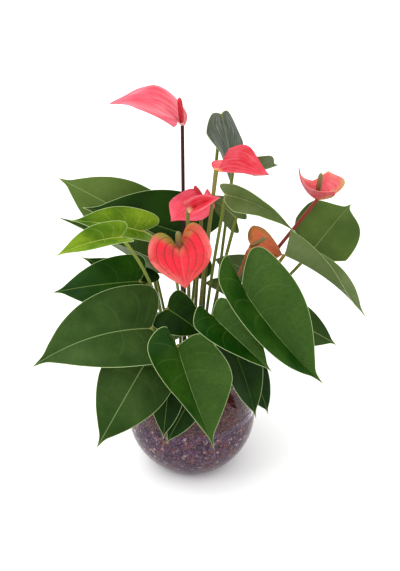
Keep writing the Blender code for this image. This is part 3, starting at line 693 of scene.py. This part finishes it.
def stalk_finish(name, low, high):
    """A smooth stalk that changes colour from the soil up to the blade."""
    finish = Finish(name, 0.4)
    along = finish.places()[1]
    share = finish.maths("ADD", finish.step(along, 0.1, 0.95),
                         finish.maths("MULTIPLY_ADD", finish.noise(60.0, 2.0), 0.5, -0.25))
    return finish.set(Base_Color=finish.mix(share, low, high), Specular_IOR_Level=0.15)


def spathe_finish(name, look, gloss, under=False):
    """A waxy spathe: its colour pales or turns green towards the edge, with arched veins."""
    finish = Finish(name, gloss + (0.1 if under else 0.0))
    look = {**USUAL_LOOK, "midrib": look["vein"],
            "midrib_share": look.get("veins", USUAL_LOOK["veins"]), **look}
    deep, vein = look["deep"], look["vein"]
    edge, rib, root, ahead = (finish.value_of(key) for key in ("edge", "rib", "root", "ahead"))
    along, across = finish.places()
    drift = finish.maths("MULTIPLY_ADD", finish.noise(70.0, 3.0), 6.0, -3.0)
    inwards = finish.maths("ADD", edge, drift)
    colour = finish.mix(finish.step(inwards, 0.5, look["rim_reach"]),
                        look["back" if under else "rim"], look["back" if under else "main"])
    lobe_end = look["lobe_end"]
    lobes = finish.times(finish.fade(along, lobe_end, lobe_end + 0.12),
                         finish.fade(inwards, 1.0, look["green_reach"]))
    colour = finish.lay(colour, look["green_colour"], lobes, look["green"])
    streak = finish.streaks(along, across)
    blotch = finish.step(finish.noise(45.0, 6.0), 0.45, 0.65)
    colour = finish.lay(colour, deep, blotch, look["shade"])
    # Pale streaks along the veins: partly the spathe's own streaks, partly a painted highlight of its
    # gloss.
    colour = finish.lay(colour, vein, finish.step(streak, 0.48, 0.68), look["streaks"])
    colour = finish.lay(colour, deep, finish.fade(streak, 0.30, 0.52), look["shade"])
    near = finish.maths("PINGPONG", finish.times(across, 4.0), 0.5)
    veins = finish.times(finish.fade(near, 0.02, 0.11), finish.fade(across, 0.8, 0.95))
    colour = finish.lay(colour, vein, veins, look["veins"])
    midrib = finish.step(rib, 0.3, 1.3, look["midrib_share"], 0.0)
    colour = finish.mix(midrib, colour, look["midrib"])
    colour = finish.lay(colour, look["base"], finish.fade(root, 2.0, 9.0), look["base_share"])
    speck = finish.step(finish.noise(260.0, 4.0), 0.55, 0.75)
    colour = finish.lay(colour, SPECK_RED, speck, look["specks"])
    colour = finish.lay(colour, TIP_BROWN, finish.step(ahead, 0.93, 1.0), 0.5)
    quilt = finish.times(finish.step(near, 0.0, 0.5), look["quilt"])
    height = finish.maths("ADD", quilt, finish.times(finish.noise(160.0, 3.0), 0.5))
    return finish.set(Base_Color=colour, Normal=finish.bump(height, 0.35, 0.0010),
                      Specular_IOR_Level=0.2)


def spadix_finish(name, low, high):
    """A finger of tiny close-set flowers, as beads in a slanting net, with painted shade in the gaps
    between the beads.
    """
    finish = Finish(name, 0.45)
    net = finish.add("ShaderNodeTexVoronoi", Vector=finish.position(), Scale=900.0)[0]
    bead = finish.fade(net, 0.15, 0.75)
    colour = finish.mix(finish.step(finish.places()[1], 0.1, 0.95), low, high)
    # Painted shade: the gaps between the beads are darkened.
    colour = finish.mix(finish.maths("MULTIPLY_ADD", bead, -0.35, 0.35), colour, PAINTED_BEAD_SHADE)
    return finish.set(Base_Color=colour, Normal=finish.bump(bead, 0.6, 0.0006))


def bark_finish(settings, name, loose=False):
    """Damp bark and peat: purple-brown at the glass, redder where it lies open on top, partly as painted
    light against the leaves' shade, with painted shade in the gaps.
    """
    finish = Finish(name, 0.75)
    chips = finish.add("ShaderNodeTexVoronoi", Vector=finish.position(), Scale=210.0)
    chance = finish.add("ShaderNodeSeparateColor", Color=chips["Color"])
    upward = finish.add("ShaderNodeSeparateXYZ", Vector=finish.add("ShaderNodeTexCoord")["Normal"])
    # Facing up: the redder top colours, partly the bark's own colour and partly painted light that makes
    # up for the leaves' shade.
    high = 1.0 if loose else finish.step(upward[2], 0.3, 0.7)
    peat = finish.mix(high, settings.peat_colour, PEAT_ON_TOP)
    bark = finish.mix(high, BARK_AT_GLASS, BARK_ON_TOP)
    colour = finish.mix(chance[0], peat, bark)
    colour = finish.mix(finish.step(chance[1], 0.80, 0.84, 0.0, 0.8), colour, settings.chip_colour)
    fibre = finish.maths("ABSOLUTE", finish.maths("SUBTRACT", finish.noise(130.0, 1.5), 0.5))
    fibre = finish.times(finish.fade(fibre, 0.004, 0.016),
                         finish.step(finish.noise(95.0, 1.0), 0.50, 0.56))
    crumb = finish.times(finish.step(chance[2], 0.86, 0.90),
                         finish.fade(chips["Distance"], 0.35, 0.6))
    colour = finish.lay(colour, settings.fibre_colour, finish.maths("MAXIMUM", fibre, crumb),
                        finish.maths("MULTIPLY_ADD", high, -0.7, 1.0))
    grain = finish.noise(420.0, 4.0)
    # Painted shade: dark gaps between the bark pieces, laid on in noise patches.
    colour = finish.mix(finish.step(grain, 0.38, 0.60, 0.75, 0.0), colour, PAINTED_GAP_SHADE)
    height = finish.maths("ADD", chips["Distance"], grain)
    return finish.set(Base_Color=colour, Normal=finish.bump(height, 0.8, 0.0015),
                      Specular_IOR_Level=0.1)


def make_leaf(spec, upper, under, petiole):
    """One leaf: its thin blade and its petiole, which narrows a little at half its length."""
    body, faces, kinds, places, values = blade_mesh(Blade(spec, LEAF_HALF), *LEAF_THICKNESS)
    path = stalk_path(spec, PETIOLE_GAP)
    radii = PETIOLE_RADIUS * (1.0 - 0.12 * np.sin(math.pi * np.linspace(0, 1, len(path))))
    points, tube_faces, tube_places = tube_mesh(path, radii, STALK_SIDES)
    first = len(body)
    faces = faces + [tuple(i + first for i in face) for face in tube_faces]
    kinds = kinds + [2] * len(tube_faces)
    values = {key: np.concatenate((numbers, np.full(len(points), 9.0)))
              for key, numbers in values.items()}
    new_piece(spec["name"],
              np.vstack((body, points)), faces, (upper, under, petiole),
              np.vstack((places, tube_places)), kinds, values)


def make_bloom(spec, gloss):
    """A bloom's stem, spathe and spadix, each its own piece."""
    name = spec["name"]
    look = BLOOM_LOOKS[name]
    body, faces, kinds, places, values = blade_mesh(Blade(spec, SPATHE_HALF), *SPATHE_THICKNESS)
    wax = (spathe_finish(name + "_face", look, gloss),
           spathe_finish(name + "_back", look, gloss, under=True))
    new_piece(name + "_spathe", body, faces, wax, places, kinds, values)
    path = stalk_path(spec, -STEM_INTO_SPATHE)
    points, faces, places = tube_mesh(path, [STEM_RADIUS] * len(path), STALK_SIDES)
    skin = stalk_finish(name + "_stem_skin", *look["stem"])
    new_piece(name + "_stem", points, faces, (skin,), places)
    joint, end = np.asarray(spec["joint"], float), np.asarray(spec["spadix"], float)
    start = joint + unit(end - joint) * spec["spadix_seat"]
    share = np.linspace(0, 1, SPADIX_RINGS)
    finger = start + (end - start) * SPADIX_LENGTH * share[:, None]
    radii = spec["girth"] * np.interp(share, *SPADIX_SHAPE)
    points, faces, places = tube_mesh(finger, radii, SPADIX_SIDES)
    beads = spadix_finish(name + "_beads", *look["spadix"])
    new_piece(name + "_spadix", points, faces, (beads,), places)


def spun_object(name, profile, sides, material):
    """Turn a profile of (radius, z) points, from the axis round to the axis, about Z."""
    form = bmesh.new()
    verts = [form.verts.new((radius * MM, 0, z * MM)) for radius, z in profile]
    edges = [form.edges.new(pair) for pair in zip(verts, verts[1:])]
    bmesh.ops.spin(form, geom=verts + edges, cent=(0, 0, 0), axis=(0, 0, 1), angle=math.tau,
                   steps=sides, use_duplicate=False)
    bmesh.ops.remove_doubles(form, verts=form.verts, dist=1e-6)
    bmesh.ops.recalc_face_normals(form, faces=form.faces)
    mesh = bpy.data.meshes.new(name)
    form.to_mesh(mesh)
    form.free()
    spun = add_object(name, mesh, material)
    mesh.shade_smooth()
    mesh.set_sharp_from_angle(angle=math.radians(45))
    return spun


def arc(radius, z_from, z_to, steps):
    """Points on the ball of that radius between two heights, evenly spread by angle."""
    start = math.asin((z_from - BOWL_CENTRE_Z) / radius)
    end = math.asin((z_to - BOWL_CENTRE_Z) / radius)
    angles = np.linspace(start, end, steps)
    return [(radius * math.cos(a), BOWL_CENTRE_Z + radius * math.sin(a)) for a in angles]


def soil_top(x, y):
    """The soil's lumpy surface, as in the solids."""
    lump = math.sin(0.19 * x + 0.4) * math.cos(0.16 * y) + 0.6 * math.sin(0.33 * y - 0.25 * x)
    return SOIL_Z + 0.03 * x + lump


def heaped_top(x, y):
    """The soil's surface with the bark pushed up a little against the glass."""
    return soil_top(x, y) + HEAP * (math.hypot(x, y) / HEAP_AT) ** 6


def make_chips(settings, bark):
    """Loose bark chips on the soil between the stalks, in one piece."""
    chance = np.random.default_rng(CHIP_SEED)
    feet = np.array([spec["foot"] for spec in LEAVES + BLOOMS], float)
    form = bmesh.new()
    made = 0
    while made < settings.chip_number:
        radius = CHIP_REACH * chance.random() ** CHIP_SPREAD
        angle = math.tau * chance.random()
        x, y = radius * math.cos(angle), radius * math.sin(angle)
        size = chance.uniform(CHIP_SMALL, CHIP_LARGE)
        if np.min(np.hypot(feet[:, 0] - x, feet[:, 1] - y)) < CHIP_CLEAR + size[0] / 2:
            continue
        corners = bmesh.ops.create_cube(form, size=1.0)["verts"]
        turn = Euler((chance.uniform(-CHIP_TILT, CHIP_TILT), chance.uniform(-CHIP_TILT, CHIP_TILT),
                      chance.random() * 6))
        for corner in corners:
            jitter = chance.uniform(-CHIP_ROUGH, CHIP_ROUGH, 3)
            corner.co = Vector([(c + j) * s for c, j, s in zip(corner.co, jitter, size)])
        matrix = turn.to_matrix()
        middle = Vector((x, y, heaped_top(x, y) + size[2] * CHIP_RAISED))
        for corner in corners:
            corner.co = (matrix @ corner.co + middle) * MM
        made += 1
    mesh = bpy.data.meshes.new("bark_chips")
    form.to_mesh(mesh)
    form.free()
    chips = add_object("bark_chips", mesh, bark)
    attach(chips, "root")


def add_light(name, place, target, size, power):
    """A soft round light that looks at the target."""
    lamp = bpy.data.lights.new(name, "AREA")
    lamp.shape = "DISK"
    lamp.size = size
    lamp.energy = power
    light = add_object(name, lamp)
    light.location = place
    light.rotation_euler = (Vector(target) - Vector(place)).to_track_quat("-Z", "Y").to_euler()


def colour_property(name, description, default):
    return bpy.props.FloatVectorProperty(name=name, description=description, default=default,
                                         subtype="COLOR", size=3, min=0.0, max=1.0)


def share_property(name, description, default):
    return bpy.props.FloatProperty(name=name, description=description, default=default, min=0.0,
                                   max=1.0, subtype="FACTOR")


class LeafSettings(bpy.types.PropertyGroup):
    """Colours and veins of the leaves."""
    under: colour_property("Underside", "Grey-green of the underside", (0.08, 0.12, 0.035))
    margin_colour: colour_property("Edge", "Pale line round the blade", (0.36, 0.45, 0.20))
    margin_width: bpy.props.FloatProperty(name="Edge width", description="Width of the pale line",
                                          default=0.00055, min=0.0, max=0.003, unit="LENGTH")
    vein_strength: share_property("Side veins", "How pale they are", 0.09)
    grain: share_property("Grain", "Fine dark grain of the upper side", 0.22)
    gloss: share_property("Roughness", "Roughness of the upper side", 0.40)


class BloomSettings(bpy.types.PropertyGroup):
    """Finish of the blooms."""
    gloss: share_property("Roughness", "Roughness of the waxy spathes", 0.38)


class BowlSettings(bpy.types.PropertyGroup):
    """The glass bowl and what fills it."""
    glass_tint: colour_property("Glass", "Tint of the clear glass", (0.96, 0.955, 0.98))
    peat_colour: colour_property("Peat", "Dark crumbs of the soil", (0.060, 0.034, 0.056))
    chip_colour: colour_property("Bark chips", "Red-brown chips", (0.30, 0.10, 0.08))
    fibre_colour: colour_property("Fibres", "Pale fibres in the soil", (0.60, 0.40, 0.36))
    chip_number: bpy.props.IntProperty(name="Loose chips", description="Chips on the soil",
                                       default=650, min=0, max=2000)


class StageSettings(bpy.types.PropertyGroup):
    """Floor and light."""
    floor: colour_property("Floor", "Plain pale floor", (0.97, 0.97, 0.97))
    surround: bpy.props.FloatProperty(name="Surround", description="Strength of the white surround",
                                      default=1.42, min=0.0, max=5.0)
    key: bpy.props.FloatProperty(name="Key light", description="Power of the upper left light",
                                 default=10.0, min=0.0, max=500.0, unit="POWER")


class ANTHURIUM_OT_leaves(bpy.types.Operator):
    """Replace every leaf by its finer, veined piece"""
    bl_idname = "anthurium.leaves"
    bl_label = "Make leaves"

    def execute(self, context):
        look = context.scene.anthurium_leaves
        under = leaf_finish("leaf_under", (look.under, *UNDER_GREENS), look, under=True)
        young_under = leaf_finish("young_leaf_under", YOUNG_UNDER_GREENS, look, under=True)
        uppers = {kind: leaf_finish("leaf_upper_" + kind, greens, look, **LEAF_EXTRAS.get(kind, {}))
                  for kind, greens in LEAF_GREENS.items()}
        petioles = {colour: stalk_finish("petiole_" + colour, *ends)
                    for colour, ends in PETIOLE_COLOURS.items()}
        for spec in LEAVES:
            make_leaf(spec, uppers[spec["kind"]], young_under if spec["kind"] == "young" else under,
                      petioles[spec.get("petiole", "green")])
        return {"FINISHED"}


class ANTHURIUM_OT_blooms(bpy.types.Operator):
    """Replace every stem, spathe and spadix by its finer piece"""
    bl_idname = "anthurium.blooms"
    bl_label = "Make blooms"

    def execute(self, context):
        for spec in BLOOMS:
            make_bloom(spec, context.scene.anthurium_blooms.gloss)
        return {"FINISHED"}


class ANTHURIUM_OT_bowl(bpy.types.Operator):
    """Replace the bowl by a finer one of clear glass"""
    bl_idname = "anthurium.bowl"
    bl_label = "Make glass bowl"

    def execute(self, context):
        glass = Finish("clear_glass_look", 0.0)
        glass.set(Base_Color=context.scene.anthurium_bowl.glass_tint, Transmission_Weight=1.0,
                  IOR=GLASS_IOR)
        depth = glass.add("ShaderNodeVolumeAbsorption", Color=GLASS_DEPTH,
                          Density=GLASS_DENSITY)[0]
        glass.put(glass.tree.nodes["Material Output"].inputs["Volume"], depth)
        outside = arc(BOWL_RADIUS, 0.0, BOWL_RIM_Z, 48)
        inside = arc(BOWL_RADIUS - BOWL_WALL, BOWL_RIM_Z, BOWL_FLOOR, 44)
        middle = (outside[-1][0] + inside[0][0]) / 2
        lip = [(middle + BOWL_LIP * math.cos(a), BOWL_RIM_Z + 1 + BOWL_LIP * math.sin(a))
               for a in np.radians(np.linspace(10, 170, 11))]
        profile = [(0, 0.0)] + outside + lip + inside + [(0, BOWL_FLOOR)]
        bowl = spun_object("fine_glass_bowl", profile, BOWL_SIDES, glass.material)
        place_piece(bowl, "glass_bowl")
        return {"FINISHED"}


class ANTHURIUM_OT_soil(bpy.types.Operator):
    """Give the soil its bark finish and strew loose chips on it"""
    bl_idname = "anthurium.soil"
    bl_label = "Make bark soil"

    def execute(self, context):
        settings = context.scene.anthurium_bowl
        bark = bark_finish(settings, "bark_and_peat_look")
        inner = BOWL_RADIUS - BOWL_WALL + SOIL_PRESS
        base = BOWL_FLOOR - SOIL_PRESS
        profile = [(0, base)] + arc(inner, base, SOIL_Z, 40)
        profile += [(radius, SOIL_Z) for radius in np.linspace(75.6, 2.0, 36)] + [(0, SOIL_Z)]
        soil = spun_object("fine_soil", profile, SOIL_SIDES, bark)
        for vertex in soil.data.vertices:
            if vertex.co.z > (SOIL_Z - 0.01) * MM:
                x, y = vertex.co.x / MM, vertex.co.y / MM
                crumb = CRUMB * math.sin(1.1 * x + 0.7 * y) * math.sin(0.9 * y - 0.8 * x)
                vertex.co.z = (heaped_top(x, y) + crumb) * MM
                spread = math.sqrt(inner ** 2 - (vertex.co.z / MM - BOWL_CENTRE_Z) ** 2)
                if math.hypot(x, y) > HEAP_AT:
                    vertex.co.x, vertex.co.y = (c * spread * MM / math.hypot(x, y) for c in (x, y))
        place_piece(soil, "soil")
        make_chips(settings, bark_finish(settings, "loose_bark_look", loose=True))
        return {"FINISHED"}


class ANTHURIUM_OT_stage(bpy.types.Operator):
    """Set the pale floor, the soft light and the camera"""
    bl_idname = "anthurium.stage"
    bl_label = "Set stage"

    def execute(self, context):
        settings = context.scene.anthurium_stage
        bpy.ops.mesh.primitive_plane_add(size=FLOOR_SIZE)
        floor = context.object
        floor.name = "floor"
        plain = Finish("plain_floor", 0.9)
        floor.data.materials.append(plain.set(Base_Color=settings.floor, Specular_IOR_Level=0.0))
        world = bpy.data.worlds.new("white_surround")
        world.use_nodes = True
        background = world.node_tree.nodes["Background"]
        background.inputs["Color"].default_value = (1.0, 1.0, 1.0, 1.0)
        background.inputs["Strength"].default_value = settings.surround
        context.scene.world = world
        add_light("key_light", LIGHT_PLACE, LIGHT_TARGET, LIGHT_SIZE, settings.key)
        context.scene.view_settings.view_transform = "Standard"
        camera = add_object("camera", bpy.data.cameras.new("camera"))
        camera.data.sensor_width = CAMERA_FILM
        camera.data.lens = CAMERA_FILM / 2 / math.tan(math.radians(CAMERA_VIEW / 2))
        camera.location = CAMERA_PLACE
        camera.rotation_euler = (math.radians(CAMERA_TILT), 0.0, 0.0)
        camera.data.clip_end = CAMERA_REACH
        context.scene.camera = camera
        return {"FINISHED"}


class ANTHURIUM_PT_panel(bpy.types.Panel):
    bl_idname = "ANTHURIUM_PT_panel"
    bl_label = "Potted anthurium"
    bl_space_type = "VIEW_3D"
    bl_region_type = "UI"
    bl_category = "Anthurium"

    def draw(self, context):
        for operator, group in PANEL_ROWS:
            box = self.layout.box()
            box.operator("anthurium." + operator)
            settings = getattr(context.scene, "anthurium_" + group)
            for key in settings.__annotations__:
                box.prop(settings, key)


PANEL_ROWS = (("leaves", "leaves"), ("blooms", "blooms"), ("bowl", "bowl"), ("soil", "bowl"),
              ("stage", "stage"))
GROUPS = dict(anthurium_leaves=LeafSettings, anthurium_blooms=BloomSettings,
              anthurium_bowl=BowlSettings, anthurium_stage=StageSettings)
CLASSES = (*GROUPS.values(), ANTHURIUM_OT_leaves, ANTHURIUM_OT_blooms, ANTHURIUM_OT_bowl,
           ANTHURIUM_OT_soil, ANTHURIUM_OT_stage, ANTHURIUM_PT_panel)


def register():
    for each in CLASSES:
        bpy.utils.register_class(each)
    for name, group in GROUPS.items():
        setattr(bpy.types.Scene, name, bpy.props.PointerProperty(type=group))


def unregister():
    for name in GROUPS:
        delattr(bpy.types.Scene, name)
    for each in reversed(CLASSES):
        bpy.utils.unregister_class(each)


def main():
    register()
    bpy.ops.anthurium.stage()
    bpy.ops.anthurium.bowl()
    bpy.ops.anthurium.soil()
    bpy.ops.anthurium.leaves()
    bpy.ops.anthurium.blooms()


if __name__ == "__main__":
    main()
